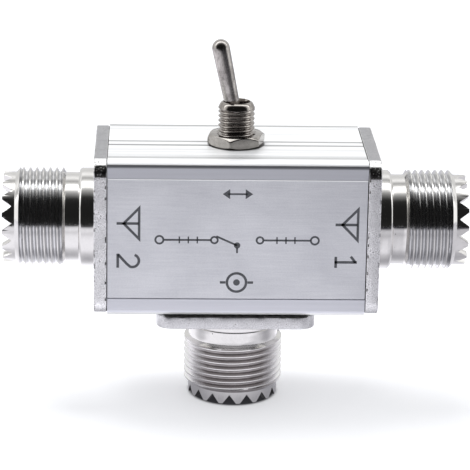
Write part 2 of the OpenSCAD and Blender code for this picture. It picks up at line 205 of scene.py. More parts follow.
def extrusion_metal(name, dark, light, r_lo, r_hi, upright_shade):
    """Bright drawn aluminium with die lines along X and a trace of cloudiness. Painted shade darkens bands along the
    scored lines and edges of the flat faces, a ring round the nut, and the upright faces.
    """
    m, nt, b = new_material(name)
    lines = noise_tex(nt, coords(nt, (0.012, 1, 1)), 1500.0, 6.0, 0.75)
    broad = noise_tex(nt, coords(nt, (0.01, 1, 1)), 330.0, 3.0, 0.6)
    cloud = noise_tex(nt, coords(nt, (0.4, 1, 1)), 90.0, 4.0, 0.6)
    tone = math_node(nt, "ADD", math_node(nt, "MULTIPLY", lines, 0.55), math_node(nt, "MULTIPLY", broad, 0.45))
    sep = nt.nodes.new("ShaderNodeSeparateXYZ")
    nt.links.new(coords(nt), sep.inputs[0])
    depth = math_node(nt, "ABSOLUTE", sep.outputs["Y"], 0.0)
    high = math_node(nt, "ABSOLUTE", math_node(nt, "SUBTRACT", sep.outputs["Z"], MID * MM), 0.0)
    face = math_node(nt, "MULTIPLY", remap(nt, depth, 0.0114, 0.0118, 0.0, 1.0), remap(nt, high, 0.01140, 0.01155, 1.0, 0.0))
    face = math_node(nt, "MAXIMUM", face, remap(nt, depth, 0.01208, 0.01215, 0.0, 1.0))       # 1 on the front and the back
    flat = ramp(nt, tone, [(0.41, dark), (0.53, light)])
    # painted shade: darker bands along X at the two score lines, the middle groove, the back edge and the front
    # shoulder of the flat faces
    for at, half, least in ((0.0012, 0.00060, 0.46), (-0.0012, 0.00060, 0.46), (0.0, 0.0022, 0.90), (0.0106, 0.00050, 0.42), (-0.0091, 0.0014, 0.52)):
        off = math_node(nt, "ABSOLUTE", math_node(nt, "SUBTRACT", sep.outputs["Y"], at), 0.0)
        flat = mix_colour(nt, remap(nt, off, half * 0.35, half, least, 1.0), (0.0, 0.0, 0.0), flat)
    near = math_node(nt, "SQRT", math_node(nt, "ADD", math_node(nt, "MULTIPLY", sep.outputs["X"], sep.outputs["X"]),
                                           math_node(nt, "MULTIPLY", sep.outputs["Y"], sep.outputs["Y"])), 0.0)
    flat = mix_colour(nt, remap(nt, near, 0.00440, 0.00465, 0.0, 1.0), (0.06, 0.058, 0.055), flat)     # painted contact shadow round the nut's foot
    # the front and back faces: the same aluminium darkened by the upright factor as painted shade, and tinted a little
    # blue
    front = ramp(nt, tone, [(0.36, tuple(c * u * upright_shade * 0.9 for c, u in zip(light, (0.975, 0.985, 1.045)))),
                            (0.60, tuple(c * u * upright_shade for c, u in zip(light, (0.975, 0.985, 1.045))))])
    # painted shade: the front face darkens towards the top
    front = mix_colour(nt, remap(nt, sep.outputs["Z"], (MID - 11.0) * MM, (MID + 9.0) * MM, 1.0, 0.86), (0.0, 0.0, 0.0), front)
    # painted dark reflection along the top edge of the front face
    front = mix_colour(nt, remap(nt, sep.outputs["Z"], (MID + 11.36) * MM, (MID + 11.56) * MM, 1.0, 0.42), (0.0, 0.0, 0.0), front)
    nt.links.new(mix_colour(nt, face, flat, front), b.inputs["Base Color"])
    nt.links.new(remap(nt, face, 0.0, 1.0, 0.30, 0.82), b.inputs["Metallic"])
    rgh = math_node(nt, "ADD", math_node(nt, "MULTIPLY", tone, 0.5), math_node(nt, "MULTIPLY", cloud, 0.5))
    nt.links.new(remap(nt, rgh, 0.3, 0.7, r_lo, r_hi), b.inputs["Roughness"])
    n1 = bump(nt, broad, 0.25, 0.00004)
    nt.links.new(bump(nt, lines, 0.2, 0.00002, n1), b.inputs["Normal"])
    return m


def plastic(name, dark, light, r_lo, r_hi, scale=700.0, spec=0.5, sss=0.0):
    m, nt, b = new_material(name)
    vec = coords(nt)
    fine = noise_tex(nt, vec, scale, 4.0, 0.6)
    big = noise_tex(nt, vec, scale / 7, 3.0, 0.5)
    tone = math_node(nt, "ADD", math_node(nt, "MULTIPLY", fine, 0.4), math_node(nt, "MULTIPLY", big, 0.6))
    nt.links.new(ramp(nt, tone, [(0.3, dark), (0.7, light)]), b.inputs["Base Color"])
    nt.links.new(remap(nt, big, 0.3, 0.7, r_lo, r_hi), b.inputs["Roughness"])
    nt.links.new(bump(nt, fine, 0.12, 0.00003), b.inputs["Normal"])
    b.inputs["Specular IOR Level"].default_value = spec
    if sss:
        b.inputs["Subsurface Weight"].default_value = sss
        b.inputs["Subsurface Scale"].default_value = 0.001
    return m


def foil_material(name):
    """Silver foil plate: fine satin grain, slightly brushed along X."""
    m, nt, b = new_material(name)
    fine = noise_tex(nt, coords(nt), 5200.0, 4.0, 0.8)
    brush = noise_tex(nt, coords(nt, (0.05, 1, 1)), 2600.0, 4.0, 0.7)
    cloud = noise_tex(nt, coords(nt), 110.0, 4.0, 0.6, 0.5)
    tone = math_node(nt, "ADD", math_node(nt, "MULTIPLY", fine, 0.4),
                     math_node(nt, "ADD", math_node(nt, "MULTIPLY", brush, 0.3), math_node(nt, "MULTIPLY", cloud, 0.3)))
    sep = nt.nodes.new("ShaderNodeSeparateXYZ")
    nt.links.new(coords(nt), sep.inputs[0])
    edge = remap(nt, sep.outputs["Z"], (MID + 9.56) * MM, (MID + 9.64) * MM, 0.0, 1.0)     # painted highlight along the top edge
    face = ramp(nt, tone, [(0.36, (0.64, 0.65, 0.685)), (0.62, (0.80, 0.81, 0.835))])
    # painted shade: darker towards the bottom
    face = mix_colour(nt, remap(nt, sep.outputs["Z"], (MID - 9.0) * MM, (MID + 2.0) * MM, 0.93, 1.0), (0.0, 0.0, 0.0), face)
    nt.links.new(mix_colour(nt, edge, face, (0.90, 0.90, 0.92)), b.inputs["Base Color"])
    nt.links.new(remap(nt, edge, 0.0, 1.0, 0.9, 0.25), b.inputs["Metallic"])
    nt.links.new(remap(nt, tone, 0.35, 0.65, 0.42, 0.32), b.inputs["Roughness"])
    nt.links.new(bump(nt, fine, 0.2, 0.000012), b.inputs["Normal"])
    return m


M_CASE = extrusion_metal("case_aluminium", (0.66, 0.665, 0.67), (0.93, 0.933, 0.94), 0.34, 0.44, 0.777)
M_FOIL = foil_material("label_foil")
M_BARREL = metal("socket_plating", (0.665, 0.655, 0.64), (0.76, 0.75, 0.735), 0.07, 0.14, (1, 1, 1), 1400.0, 260.0, 0.08, 0.00001, True)
M_FLANGE = pitted_metal("flange_plating", (0.48, 0.48, 0.48), (0.95, 0.95, 0.955), 0.24, 0.36, (0.26, 0.255, 0.25), (0.53, 0.66), 1.0, 5600.0, 3000.0, (0.14, 0.34), (0.40, 0.57), True, 0.86)
# painted shade: the lower flange's plating is a darker copy of the flange plating
M_LOWER_SHADE = pitted_metal("lower_flange_plating_painted_shade", (0.46, 0.46, 0.465), (0.72, 0.72, 0.73), 0.26, 0.38, (0.34, 0.335, 0.33), (0.54, 0.68), 1.0, 5600.0, 3000.0, (0.12, 0.32), (0.40, 0.58), False, 0.88)
# painted shade: darker copy of the flange plating for the side flanges' upper edges
M_TOP_SHADE = pitted_metal("flange_upper_edge_painted_shade", (0.32, 0.32, 0.335), (0.505, 0.505, 0.525), 0.26, 0.38, (0.20, 0.20, 0.20), (0.58, 0.70), 1.0, 5600.0, 3000.0, (0.12, 0.32), (0.40, 0.58), False, 0.85)
# painted highlight: near-white copy of the flange plating for a band on the side flanges' front corners
M_BAND_HIGHLIGHT = pitted_metal("flange_corner_painted_highlight", (0.80, 0.80, 0.80), (0.98, 0.98, 0.98), 0.26, 0.38, (0.10, 0.098, 0.095), (0.42, 0.52), 0.6, 2600.0, 2700.0, (0.20, 0.36), (0.38, 0.50))
# painted shade: near-black flange edge along the seam against the case
M_SEAM_SHADE = pitted_metal("flange_inner_edge_painted_shade", (0.035, 0.033, 0.032), (0.10, 0.098, 0.095), 0.45, 0.60)
# painted dark reflection: near-black copy of the flange plating, with light specks, for the side flanges' front corners
M_CORNER_DARK_REFLECTION = pitted_metal("flange_corner_painted_reflection", (0.03, 0.029, 0.028), (0.17, 0.167, 0.163), 0.30, 0.45, (0.80, 0.80, 0.79), (0.40, 0.50), 1.0, 2600.0, 3000.0, (0.14, 0.30))
M_FLANK = metal("thread_flanks", (0.635, 0.635, 0.635), (0.735, 0.735, 0.735), 0.08, 0.15, (1, 1, 1), 1600.0, 300.0, 0.2, 0.00001)
# painted shade: thread roots and inner flanks darker than the flanks
M_GROOVE_SHADE = metal("thread_roots_painted_shade", (0.56, 0.56, 0.565), (0.67, 0.67, 0.675), 0.10, 0.18, (1, 1, 1), 1600.0, 300.0, 0.2, 0.00001)
# painted shade: the lower socket's thread roots, a dark copy of the plating
M_GROOVE_LOW_SHADE = metal("lower_thread_roots_painted_shade", (0.31, 0.29, 0.285), (0.45, 0.425, 0.42), 0.26, 0.38, (1, 1, 1), 1600.0, 300.0, 0.2, 0.00001, False, (0.93, 0.92, 0.92))
# painted shade: near-black walls of the lower socket's notches
M_NOTCH_SHADE = metal("notch_walls_painted_shade", (0.02, 0.02, 0.019), (0.05, 0.049, 0.047), 0.40, 0.55, (1, 1, 1), 1400.0, 260.0)
M_BORE = metal("socket_bore", (0.42, 0.41, 0.40), (0.58, 0.57, 0.56), 0.16, 0.28, (1, 1, 1), 1400.0, 260.0)
# painted shade: dark copy of the plating for the lower socket's downward flanks
M_FLANK_LOW_SHADE = metal("lower_thread_flanks_painted_shade", (0.29, 0.27, 0.265), (0.43, 0.405, 0.40), 0.26, 0.38, (1, 1, 1), 1600.0, 300.0, 0.2, 0.00001, False, (0.93, 0.92, 0.92))
# painted light: light copy of the plating for the lower socket's upward flanks
M_FLANK_UP_LIT = metal("lower_thread_upper_flanks_painted_light", (0.66, 0.64, 0.625), (0.82, 0.80, 0.785), 0.24, 0.36, (1, 1, 1), 1600.0, 300.0, 0.2, 0.00001, False, (0.95, 0.95, 0.95))
M_PLATE = metal("flange_outer_face", (0.60, 0.595, 0.585), (0.72, 0.715, 0.705), 0.20, 0.30, (1, 1, 1), 1500.0, 200.0, 0.10, 0.00001)
# painted shade: dark inside of the sockets' mouths
M_INNER_SHADE = metal("socket_inside_painted_shade", (0.06, 0.058, 0.056), (0.13, 0.128, 0.125), 0.35, 0.50, (1, 1, 1), 1400.0, 260.0)
M_NICKEL = metal("switch_nickel", (0.22, 0.20, 0.185), (0.46, 0.435, 0.41), 0.09, 0.18, (1, 1, 1), 1500.0, 300.0, 0.10, 0.00001)
M_LEVER = metal("lever_nickel", (0.20, 0.185, 0.175), (0.60, 0.575, 0.55), 0.12, 0.26, (1, 1, 0.35), 2600.0, 620.0, 0.5, 0.00002)
M_NUT = metal("nut_nickel", (0.25, 0.235, 0.22), (0.44, 0.42, 0.395), 0.12, 0.22, (1, 1, 1), 1800.0, 500.0, 0.2, 0.00001)
M_SILVER = metal("contact_silver", (0.76, 0.74, 0.68), (0.88, 0.86, 0.80), 0.14, 0.26, (1, 1, 1), 1200.0, 300.0)
M_STEEL = metal("screw_steel", (0.52, 0.52, 0.53), (0.70, 0.70, 0.71), 0.18, 0.34, (1, 1, 1), 1500.0, 350.0)
M_RING = metal("ring_steel", (0.40, 0.40, 0.40), (0.58, 0.58, 0.57), 0.25, 0.40, (1, 1, 1), 1500.0, 350.0)
M_BRASS = metal("rocker_brass", (0.62, 0.48, 0.20), (0.80, 0.66, 0.34), 0.20, 0.34, (0.2, 1, 1), 1500.0, 350.0)
M_TIN = metal("wire_tinned", (0.62, 0.62, 0.62), (0.78, 0.78, 0.77), 0.22, 0.36, (1, 1, 1), 1300.0, 300.0)
M_SOLDER = metal("solder_tin", (0.56, 0.57, 0.58), (0.74, 0.75, 0.76), 0.16, 0.34, (1, 1, 1), 700.0, 260.0)
M_PTFE = plastic("insulator_white", (0.80, 0.79, 0.75), (0.90, 0.89, 0.86), 0.30, 0.45, 900.0, 0.45, 0.15)
M_BLUE = plastic("moulding_blue", (0.02, 0.06, 0.22), (0.04, 0.10, 0.32), 0.32, 0.48)
M_NYLON = plastic("plunger_nylon", (0.78, 0.78, 0.75), (0.88, 0.88, 0.86), 0.30, 0.42)
M_INK = plastic("label_ink", (0.045, 0.047, 0.055), (0.085, 0.088, 0.10), 0.38, 0.55, 2200.0, 0.4)


# ------------------------------------------------------------------ mesh tools
def finish_mesh(name, bm, materials, place, body, smooth_angle=32.0):
    """Turns bm, in mm in a local frame, into an object in the row frame."""
    bmesh.ops.recalc_face_normals(bm, faces=bm.faces)
    limit = math.radians(smooth_angle)
    for f in bm.faces:
        f.smooth = True
    for e in bm.edges:
        e.smooth = len(e.link_faces) == 2 and e.calc_face_angle(0.0) < limit
    bm.transform(place)
    bm.transform(Matrix.Scale(MM, 4))
    if place.determinant() < 0:
        bmesh.ops.reverse_faces(bm, faces=bm.faces)
    me = bpy.data.meshes.new(name)
    bm.to_mesh(me)
    bm.free()
    for m in materials:
        me.materials.append(m)
    ob = bpy.data.objects.new(name, me)
    bpy.context.scene.collection.objects.link(ob)
    if body:
        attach(ob, body)
    return ob


def add_loop_rows(bm, rows, closed_u=True, closed_v=False, mat=0):
    """rows: lists of points, all of one length. Quads between neighbouring rows."""
    vs = [[bm.verts.new(p) for p in row] for row in rows]
    n = len(rows[0])
    pairs = list(zip(vs, vs[1:]))
    if closed_v:
        pairs.append((vs[-1], vs[0]))
    for a, b in pairs:
        for j in range(n if closed_u else n - 1):
            k = (j + 1) % n
            try:
                f = bm.faces.new((a[j], a[k], b[k], b[j]))
                f.material_index = mat
            except ValueError:
                pass
    return vs


def ring(r, z, n, off=0.0):
    return [(r * math.cos(off + 2 * PI * j / n), r * math.sin(off + 2 * PI * j / n), z) for j in range(n)]


def revolve(bm, profile, n, mat=0, cap_start=False, cap_end=False, closed=False):
    vs = add_loop_rows(bm, [ring(r, z, n) for r, z in profile], True, closed, mat)
    if cap_start:
        c = bm.verts.new((0, 0, profile[0][1]))
        for j in range(n):
            bm.faces.new((vs[0][(j + 1) % n], vs[0][j], c)).material_index = mat
    if cap_end:
        c = bm.verts.new((0, 0, profile[-1][1]))
        for j in range(n):
            bm.faces.new((vs[-1][j], vs[-1][(j + 1) % n], c)).material_index = mat
    return vs


def v_phases(crest, root):
    """Corners of a thread form whose crest and root flats take up these shares of the pitch. Phase 0 is on the crest."""
    c, f = crest / 2, (1 - crest - root) / 2
    down = [c + f * k for k in (0.0, 0.12, 0.55, 0.88, 1.0)]
    return [0.0] + down + [0.5] + [1.0 - p for p in reversed(down)]


def v_radius(u, phases, crest_r, root_r):
    """Radius of the form at one of its phases, with small rounds at the flats' edges."""
    d = crest_r - root_r
    at = [0.0, 0.012, 0.12, 0.55, 0.88, 0.985, 1.0, 0.985, 0.88, 0.55, 0.12, 0.012]
    i = min(range(len(phases)), key=lambda n: abs(phases[n] - u))
    return crest_r - d * at[i]


def threaded_rows(angles, z0, z1, pitch, phases, radius_at):
    """Rows that follow the helix between z0 and z1. phases are the corners of the form, in turns, from 0 up to 1.
    Returns rows and the phase index of each."""
    rows, index = [], []
    k = -2
    while z0 + (k - 1) * pitch < z1:
        for i, u in enumerate(phases):
            row = []
            for a in angles:
                z = z0 + (k + u + a / (2 * PI)) * pitch
                inside = z0 < z < z1
                z = min(max(z, z0), z1)
                r = radius_at(z, u) if inside else radius_at(z, 0.0)
                row.append((r * math.cos(a), r * math.sin(a), z))
            rows.append(row)
            index.append(i)
        k += 1
    return rows, index


# ------------------------------------------------------------------ sockets
Z_COLLAR, Z_NECK, Z_THREAD = 4.57, 6.82, 14.02
Z_RIM, Z_ROOT, Z_TIP = 14.67, 15.15, 16.65
Z_DISC = 5.0
FLANGE_T = 2.1
HOLE = 9.1


def tooth_columns(r_out):
    """Angles inside one tooth's pitch, from one notch's foot to the next."""
    step = 2 * PI / 16
    half = math.asin(1.103 / r_out)
    a = [0.0, half * 0.12, half * 0.35, half * 0.6, half * 0.82, half * 0.95, half * 1.04]
    mid = step / 2
    return a + [(half * 1.04 + mid) / 2, mid, step - (half * 1.04 + mid) / 2] + [step - x for x in reversed(a[1:])]


def notch_height(lateral):
    """Height of the teeth's top over a point `lateral` mm from the middle of the nearest notch."""
    z = Z_TIP - 1.5 + lateral * 1.36
    if lateral < 0.07:                      # small radius at the foot
        z = Z_TIP - 1.5 + 0.05 + lateral * 0.6
    return min(z, Z_TIP)


def socket_barrel(bm, phase_deg):
    step = 2 * PI / 16
    cols = tooth_columns(7.2)
    outer, inner, lat = [], [], []
    base = math.radians(phase_deg) + step / 2       # a notch's foot
    for t in range(16):
        for a in cols:
            near = a if a <= step / 2 else a - step
            side = 1 if near >= 0 else -1
            l_out = 7.2 * math.sin(abs(near))
            half_out = math.asin(1.103 / 7.2)
            if abs(near) <= half_out:
                a_in = side * math.asin(min(l_out / 6.1, 1.0))
            else:                                   # spread what is left of the tooth's top
                half_in = math.asin(1.103 / 6.1)
                f = (abs(near) - half_out) / (step / 2 - half_out)
                a_in = side * (half_in + f * (step / 2 - half_in))
            outer.append(base + t * step + near + (0 if a <= step / 2 else step))
            inner.append(base + t * step + a_in + (0 if a <= step / 2 else step))
            lat.append(l_out)
    n = len(outer)

    def plain(r, z, angs=outer):
        return [(r * math.cos(a), r * math.sin(a), z) for a in angs]

    wrapped = outer + [outer[0] + 2 * PI]

    phases = v_phases(0.15, 0.20)
    z_in, z_out = Z_NECK + 0.33, Z_THREAD

    def radius_at(z, u):                    # the groove runs out behind a clean chamfer at each end
        depth = min(max((z - z_in) / 0.20, 0.0), 1.0) * min(max((z_out - z) / 0.20, 0.0), 1.0)
        return 7.9 - (7.9 - v_radius(u, phases, 7.9, 7.24)) * depth

    lower = [plain(r, z) for r, z in [
        (6.9, 0.03), (6.9, 2.0), (8.12, 2.07), (8.01, 2.13), (7.94, 2.22), (7.9, 2.36), (7.9, 3.0), (7.9, 3.7), (7.9, 4.20),
        (7.885, 4.25), (7.63, 4.53), (7.58, Z_COLLAR), (7.36, Z_COLLAR), (7.25, 4.60), (7.19, 4.67), (7.17, 4.78),
        (7.17, 5.4), (7.17, 6.1), (7.17, 6.66), (7.19, 6.74), (7.25, 6.80),
        (7.85, 7.125), (7.89, 7.145)]]
    helix, corner = threaded_rows(wrapped, z_in, z_out, 1.058, phases, radius_at)
    top = [plain(7.885, 14.05), plain(7.22, 14.65), plain(7.2, 14.68), plain(7.2, 14.85), plain(7.2, 15.0)]
    for r, dz in ((7.2, -0.07), (7.18, -0.02), (7.13, 0.0)):
        top.append([(r * math.cos(a), r * math.sin(a), notch_height(l) + dz) for a, l in zip(outer, lat)])
    for r, dz in ((6.17, 0.0), (6.12, -0.02), (6.1, -0.07)):
        top.append([(r * math.cos(a), r * math.sin(a), notch_height(l) + dz) for a, l in zip(inner, lat)])
    top += [plain(6.1, 15.0, inner), plain(6.1, 14.6), plain(6.1, 13.0), plain(6.1, 9.0), plain(6.1, 5.62),
            plain(6.14, 5.585), plain(6.45, 5.58), plain(6.45, 5.02), plain(6.1, 5.0), plain(6.1, 3.4), plain(5.4, 3.4), plain(5.4, 0.03)]
    # the helix is open where it comes back to its start, and is merged there
    v_low = add_loop_rows(bm, lower)
    h = [[bm.verts.new(p) for p in row] for row in helix]
    for a, b, i in zip(h, h[1:], corner):
        for j in range(len(wrapped) - 1):
            pts = (a[j], a[j + 1], b[j + 1], b[j])
            co = {tuple(round(c, 5) for c in v.co) for v in pts}
            if len(co) >= 3:
                # painted shade: the inner flanks and the roots take the darker groove material (slot 9)
                bm.faces.new(pts).material_index = {2: 3, 9: 3, 3: 9, 4: 9, 5: 9, 6: 9, 7: 9, 8: 9}.get(i, 0)
    v_top = add_loop_rows(bm, top)
    # joins: lowest helix row is clamped to z_in, highest to z_out
    for j in range(n):
        k = (j + 1) % n
        bm.faces.new((v_low[-1][j], v_low[-1][k], h[0][j + 1], h[0][j]))
        bm.faces.new((h[-1][j], h[-1][j + 1], v_top[0][k], v_top[0][j]))
        bm.faces.new((v_top[-1][j], v_top[-1][k], v_low[0][k], v_low[0][j]))
    bmesh.ops.remove_doubles(bm, verts=bm.verts, dist=0.0004)
    bmesh.ops.dissolve_degenerate(bm, edges=bm.edges, dist=0.0003)


def outline(inset, seed, wobble=0.0):
    """Points round a 25 mm square with round corners, pulled in by `inset` and by noise."""
    w, r = 12.5, 2.5
    pts = []
    for q in range(4):
        a0 = q * PI / 2
        cx = (w - r) * (1 if q in (0, 3) else -1)
        cy = (w - r) * (1 if q in (0, 1) else -1)
        for i in range(13):
            a = a0 + i / 12 * PI / 2
            pts.append((cx, cy, math.cos(a), math.sin(a)))
        # straight stretch to the next corner
        ex, ey = math.cos(a0 + PI / 2), math.sin(a0 + PI / 2)
        nx, ny = (w - r) * (1 if (q + 1) % 4 in (0, 3) else -1), (w - r) * (1 if (q + 1) % 4 in (0, 1) else -1)
        for i in range(1, 44):
            t = i / 44
            pts.append((cx + (nx - cx) * t, cy + (ny - cy) * t, ex, ey))
    out = []
    for cx, cy, ux, uy in pts:
        x, y = cx + ux * r, cy + uy * r
        d = inset
        if wobble:
            d += wobble * (0.55 + 0.9 * noise.noise(Vector((x * 0.9, y * 0.9, seed))) + 0.5 * noise.noise(Vector((x * 3.1, y * 3.1, seed + 9))))
            d = max(d, 0.0)
        out.append((x - ux * d, y - uy * d))
    return out


def flange_plate(bm, seed):
    rows = [(0.0, 0.12, 0.26), (0.05, 0.08, 0.22), (0.11, 0.02, 0.15), (0.17, 0.0, 0.06), (0.36, 0.0, 0.0), (1.0, 0.0, 0.0), (1.86, 0.0, 0.0),
            (1.96, 0.02, 0.0), (2.04, 0.06, 0.0), (2.08, 0.11, 0.0), (FLANGE_T, 0.18, 0.0)]
    vs = add_loop_rows(bm, [[(x, y, z) for x, y in outline(i, seed, w)] for z, i, w in rows])
    bm.faces.new(list(reversed(vs[0])))
    bm.faces.new(vs[-1])


def cut(ob, cutter):
    """Applies an exact boolean difference and removes the cutter."""
    m = ob.modifiers.new("cut", "BOOLEAN")
    m.operation = "DIFFERENCE"
    m.solver = "EXACT"
    m.object = cutter
    dg = bpy.context.evaluated_depsgraph_get()
    me = bpy.data.meshes.new_from_object(ob.evaluated_get(dg))
    ob.modifiers.clear()
    old = ob.data
    ob.data = me
    bpy.data.meshes.remove(old)
    bpy.data.objects.remove(cutter)


def temp_object(bm):
    bmesh.ops.recalc_face_normals(bm, faces=bm.faces)
    me = bpy.data.meshes.new("temp")
    bm.to_mesh(me)
    bm.free()
    ob = bpy.data.objects.new("temp", me)
    bpy.context.scene.collection.objects.link(ob)
    return ob


def socket_shell(name, phase, place, seed):
    bm = bmesh.new()
    flange_plate(bm, seed)
    plate = temp_object(bm)
    bm = bmesh.new()
    revolve(bm, [(6.5, -1.0), (6.5, 3.2)], 96, 0, True, True)
    for x in (-HOLE, HOLE):
        for y in (-HOLE, HOLE):
            part = bmesh.new()
            revolve(part, [(1.6, -1.0), (1.6, FLANGE_T - 1.35), (2.93, FLANGE_T - 0.02), (2.98, FLANGE_T + 0.3), (2.98, 3.2)], 40, 0, True, True)
            part.transform(Matrix.Translation((x, y, 0)))
            me = bpy.data.meshes.new("t")
            part.to_mesh(me)
            part.free()
            bm.from_mesh(me)
            bpy.data.meshes.remove(me)
    cutter = temp_object(bm)
    cut(plate, cutter)
    bm = bmesh.new()
    bm.from_mesh(plate.data)
    bpy.data.objects.remove(plate)
    turn = place.to_3x3()
    for f in bm.faces:                                  # painted shade: the inner edge and the face on the case are dark, as the shadow in the seam against the case
        f.material_index = 2 if max(v.co.z for v in f.verts) < (0.12 if seed < 20 else 0.18) else 1
        n = turn @ f.normal
        lean = math.degrees(math.atan2(n.z, -n.y))
        # painted reflection on the side flanges' front edges, by how far they lean up: dark corner, bright band, darker
        # top
        if seed < 20 and f.material_index == 1 and math.hypot(n.z, n.y) > 0.9 and f.calc_area() > 0.005:
            if 1 < lean < 45:
                f.material_index = 5
            elif 45 <= lean < 80:
                f.material_index = 7
            elif 80 <= lean < 100:
                f.material_index = 6
        if seed > 20 and f.material_index == 2 and abs(n.z) < 0.9 and abs(f.calc_center_median().x) > 11.3:
            f.material_index = 1
        if f.normal.z > 0.9:
            f.material_index = 12
    barrel = bmesh.new()
    socket_barrel(barrel, phase)
    bmesh.ops.recalc_face_normals(barrel, faces=barrel.faces)
    for f in barrel.faces:
        c = f.calc_center_median()
        far = math.hypot(c.x, c.y)
        # painted shade: the inside of each socket's mouth takes the dark material (slot 4)
        if far < 6.115 and f.material_index == 0:
            f.material_index = 4 if c.z > 12.9 else 11
        elif seed > 20 and 6.11 < far < 7.19 and 15.0 < c.z < 16.62 and f.normal.z > 0:      # painted shade: the notches' walls over the floor are near black
            f.material_index = 10
        # painted light: the lower socket's flanks that face up take the light copy (slot 8)
        elif seed > 20 and f.material_index == 3 and f.normal.z < 0:
            f.material_index = 8
        elif seed > 20 and f.material_index == 0 and 7.23 < far < 7.88 and 14.04 < c.z < 14.64:      # the chamfer before its teeth takes the dark flank copy, as painted shade
            f.material_index = 3
    me = bpy.data.meshes.new("t")
    barrel.to_mesh(me)
    barrel.free()
    bm.from_mesh(me)
    bpy.data.meshes.remove(me)
    low = seed > 20
    ob = finish_mesh(name, bm, [M_BARREL, M_LOWER_SHADE if low else M_FLANGE, M_SEAM_SHADE, M_FLANK_LOW_SHADE if low else M_FLANK, M_INNER_SHADE, M_CORNER_DARK_REFLECTION, M_TOP_SHADE, M_BAND_HIGHLIGHT, M_FLANK_UP_LIT,
                                 M_GROOVE_LOW_SHADE if low else M_GROOVE_SHADE, M_NOTCH_SHADE, M_BORE, M_PLATE],
                     place, "case", 30.0)
    return ob


AT_ANT1 = Matrix.Translation((HALF_L, 0, MID)) @ Matrix.Rotation(PI / 2, 4, "Y")
AT_ANT2 = Matrix.Translation((-HALF_L, 0, MID)) @ Matrix.Rotation(-PI / 2, 4, "Y")
AT_RADIO = Matrix.Translation((0, 0, MID - 12.5)) @ Matrix.Rotation(PI, 4, "X")
for key, phase, place, seed in (("ant1", -5.0, AT_ANT1, 3.0), ("ant2", -4.4, AT_ANT2, 17.0), ("radio", -6.0, AT_RADIO, 31.0)):
    shell = socket_shell(key + "_shell_detail", phase, place, seed)
    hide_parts(key + "_socket_shell")

# ------------------------------------------------------------------ toggle switch
AT_MID = Matrix.Translation((0, 0, MID))


def bushing():
    bm = bmesh.new()
    n = 96
    angles = [2 * PI * j / n for j in range(n + 1)]
    z0, z1 = 10.5, 18.22

    phases = [i / 14 for i in range(14)]

    def radius_at(z, u):                    # a rounded thread, as a plated one is
        depth = min(max((z - z0) / 0.2, 0.0), 1.0) * min(max((z1 - z) / 0.22, 0.0), 1.0)
        return 2.9 - 0.36 * depth * (1 - math.cos(2 * PI * u)) / 2

    low = [ring(r, z, n) for r, z in [(2.3, 9.75), (2.85, 9.75), (2.9, 9.8), (2.9, 10.0), (2.6, 10.0), (2.6, 10.3), (2.88, 10.48)]]
    helix, corner = threaded_rows(angles, z0, z1, 0.75, phases, radius_at)
    top = [ring(r, z, n) for r, z in [
        (2.9, 18.25), (2.895, 18.30), (2.86, 18.37), (2.74, 18.66), (2.63, 18.88), (2.52, 19.02), (2.43, 19.10), (2.33, 19.16), (2.22, 19.22),
        (2.16, 19.25), (2.12, 19.22), (1.5, 16.9), (1.62, 16.45), (1.86, 15.6), (1.86, 14.6), (2.3, 10.4)]]
    v_low = add_loop_rows(bm, low)
    h = [[bm.verts.new(p) for p in row] for row in helix]
    for a, b in zip(h, h[1:]):
        for j in range(n):
            pts = (a[j], a[j + 1], b[j + 1], b[j])
            co = {tuple(round(c, 5) for c in v.co) for v in pts}
            if len(co) >= 3:
                bm.faces.new(pts)
    v_top = add_loop_rows(bm, top)
    for j in range(n):
        k = (j + 1) % n
        bm.faces.new((v_low[-1][j], v_low[-1][k], h[0][j + 1], h[0][j]))
        bm.faces.new((h[-1][j], h[-1][j + 1], v_top[0][k], v_top[0][j]))
        bm.faces.new((v_top[-1][j], v_top[-1][k], v_low[0][k], v_low[0][j]))
    bmesh.ops.remove_doubles(bm, verts=bm.verts, dist=0.0004)
    bmesh.ops.dissolve_degenerate(bm, edges=bm.edges, dist=0.0003)
    ob = finish_mesh("bushing_detail", bm, [M_NICKEL], AT_MID, "case")
    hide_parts("switch_bushing")


def hex_nut():
    af, t, turn = 8.3, 1.8, math.radians(16)
    n = 6 * 24
    soft = 0.035                                        # how softly the flats, the corners and the chamfers run into each other

    def least(values):
        low = min(values)
        return low - soft * math.log(sum(math.exp((low - v) / soft) for v in values))

    zs = [0, 0.015] + [0.03 + 0.58 * (i / 14) ** 1.3 for i in range(15)]
    zs = zs + [0.9] + [t - z for z in reversed(zs)]
    rows = []
    for z in zs:
        edge = min(z, t - z)
        cone = af / 2 - 0.02 + 1.35 * edge
        row = []
        for j in range(n):
            a = 2 * PI * j / n
            sides = [af / 2 / math.cos(a - PI / 6 - k * PI / 3) for k in range(6) if math.cos(a - PI / 6 - k * PI / 3) > 0.4]
            r = least(sides + [cone])
            row.append((r * math.cos(a + turn), r * math.sin(a + turn), z))
        rows.append(row)
    inner = [(3.2, t), (2.94, t - 0.24), (2.94, 1.0), (2.94, 0.2), (3.15, 0)]
    for r, z in inner:
        rows.append(ring(r, z, n, turn))
    bm = bmesh.new()
    add_loop_rows(bm, rows, True, True)
    ob = finish_mesh("nut_detail", bm, [M_NUT], Matrix.Translation((0, 0, MID + 12.3)), "case", 40.0)
    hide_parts("switch_hex_nut")


